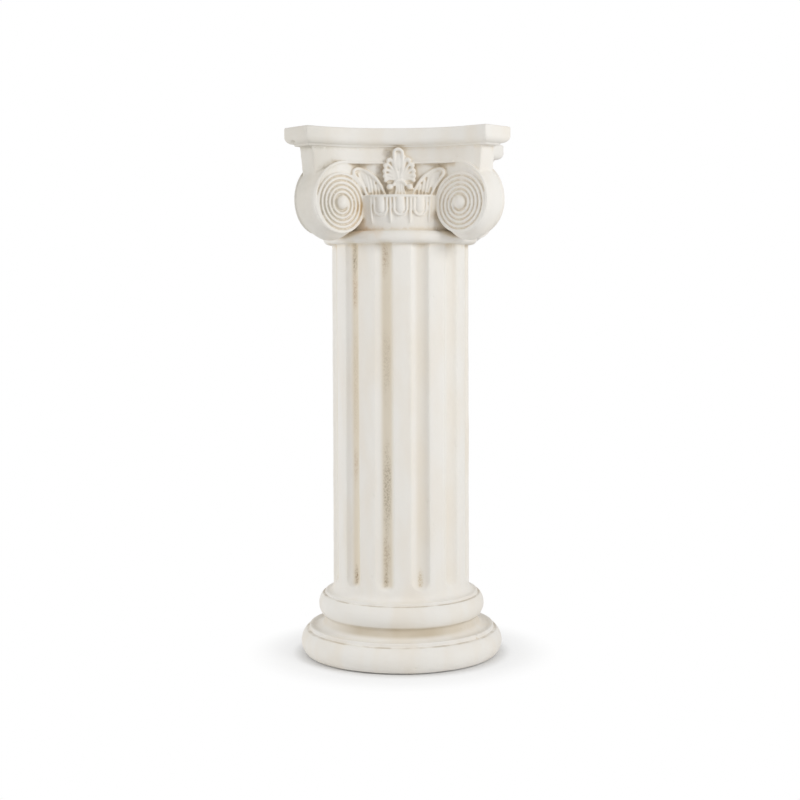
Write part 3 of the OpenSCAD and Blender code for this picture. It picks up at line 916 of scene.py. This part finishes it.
# Stains on the capital and the base, and painted shade on the capital's left side, stronger where it is
# closed in: place, radius, colour, strength.
stains_and_shade = [((-0.056, -0.094, 0.683), 0.022, "#c6a878", 0.60),
          ((-0.050, -0.104, 0.655), 0.022, "#d8b488", 0.40),
          ((-0.030, -0.112, 0.652), 0.015, "#dcb684", 0.50),
          ((-0.017, -0.103, 0.766), 0.009, "#8b7040", 0.85),
          ((-0.027, -0.098, 0.742), 0.010, "#9c7f56", 0.60),
          ((0.060, -0.098, 0.656), 0.010, "#7d6040", 0.50),
          # The two grey patches are painted shade, darkening the left side of the capital.
          ((-0.152, -0.142, 0.770), 0.070, "#c4bfb3", 1.1),
          ((-0.138, -0.096, 0.690), 0.066, "#c4bfb3", 1.5),
          ((0.054, -0.100, 0.672), 0.012, "#b59a75", 0.45),
          ((0.118, -0.086, 0.0470), 0.006, "#6a5a44", 0.90)]
held = add(plaster, "Math", plus, {0: soft, 1: 0.35})
ripples = add(plaster, "TexNoise", None, {"Vector": place, "Scale": 1 / 0.007, "Detail": 3.0})
for centre, radius, code, strength in stains_and_shade:
    away = add(plaster, "VectorMath", {"operation": "DISTANCE"}, {0: place, 1: centre}, "Value")
    ragged = add(plaster, "Math", times_plus, {0: ripples, 1: min(radius * 0.7, 0.012), 2: away})
    stain_and_shade = add(plaster, "MapRange", smooth,
                {"Value": ragged, 1: radius * 1.25, 2: radius * 0.55, 4: strength})
    stain_and_shade = add(plaster, "Math", times, {0: stain_and_shade, 1: held})
    paint = add(plaster, "Mix", colours, {0: stain_and_shade, 6: paint, 7: linear(code)}, 2)
plaster.node_tree.links.new(paint, shader.inputs["Base Color"])

# The skin has a grain of 1.2 mm, as coarse as it needs to be to show, over a ripple of 4.5 mm.
grain = add(plaster, "TexNoise", None, {"Vector": place, "Scale": 1 / 0.0012, "Detail": 2.0})
ripple = add(plaster, "TexNoise", None, {"Vector": place, "Scale": 1 / 0.0045, "Detail": 3.0})
rough = add(plaster, "Math", times_plus, {0: ripple, 1: 1.5, 2: grain})
bump = add(plaster, "Bump", None, {"Height": rough, "Distance": 0.0004, "Strength": 0.35})
plaster.node_tree.links.new(bump, shader.inputs["Normal"])

column.data.materials.clear()
column.data.materials.append(plaster)
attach(column, "root")
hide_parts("column")


# ---- The floor and the light ----
# A white table that runs out into a white room, one large soft lamp to the right of the front and
# a weaker one far to the left, as in a small product studio.

bpy.ops.object.select_all(action="DESELECT")
bpy.ops.mesh.primitive_plane_add(size=14.0, location=(0, 0, 0))
floor = bpy.context.object
floor.name = "floor"

# A matt white laminate, shown as plain white away from the foot, so that only the shadow is left.
white = bpy.data.materials.new("white_table")
white.use_nodes = True
table = white.node_tree.nodes["Principled BSDF"]
table.inputs["Base Color"].default_value = linear("#ededed")
table.inputs["Roughness"].default_value = 0.9
camera_ray = add(white, "LightPath", output="Is Camera Ray")
glossy_ray = add(white, "LightPath", output="Is Glossy Ray")
seen = add(white, "Math", larger, {0: camera_ray, 1: glossy_ray})
table_place = add(white, "TexCoord", output="Object")
out = add(white, "VectorMath", {"operation": "LENGTH"}, {0: table_place}, "Value")
near = add(white, "MapRange", smooth, {"Value": out, 1: 0.152, 2: 0.175})
far = add(white, "MapRange", smooth, {"Value": out, 1: 0.16, 2: 0.25, 3: 0.60, 4: 1.0})
open_floor = add(white, "Math", times, {0: near, 1: far})
amount = add(white, "Math", times, {0: seen, 1: open_floor})
glow = add(white, "Emission", None, {"Color": (1, 1, 1, 1), "Strength": 1.0})
blend = add(white, "MixShader", None, {0: amount, 1: table.outputs[0], 2: glow})
white.node_tree.links.new(blend, white.node_tree.nodes["Material Output"].inputs["Surface"])
floor.data.materials.append(white)

lamps = (("key", (2.1, -1.7, 1.5), 1.1, 32.5),
         ("side", (-2.4, -0.60, 1.0), 1.2, 20.0))
lit_point = Vector((0, 0, 0.45))
for name, lamp_place, size, power in lamps:
    bpy.ops.object.light_add(type="AREA", location=lamp_place)
    lamp = bpy.context.object
    lamp.name = name
    lamp.data.size = size
    lamp.data.energy = power
    aim = lit_point - Vector(lamp_place)
    lamp.rotation_euler = aim.to_track_quat("-Z", "Y").to_euler()

# The room lights the column at room_level, and looks plain white itself.
room_level = 0.535
world = bpy.data.worlds.new("studio")
scene.world = world
world.use_nodes = True
background = world.node_tree.nodes["Background"]
background.inputs["Color"].default_value = (1, 1, 1, 1)
camera_ray = add(world, "LightPath", output="Is Camera Ray")
glossy_ray = add(world, "LightPath", output="Is Glossy Ray")
seen = add(world, "Math", larger, {0: camera_ray, 1: glossy_ray})
level = add(world, "MapRange", None, {"Value": seen, 3: room_level, 4: 1.0})
world.node_tree.links.new(level, background.inputs["Strength"])
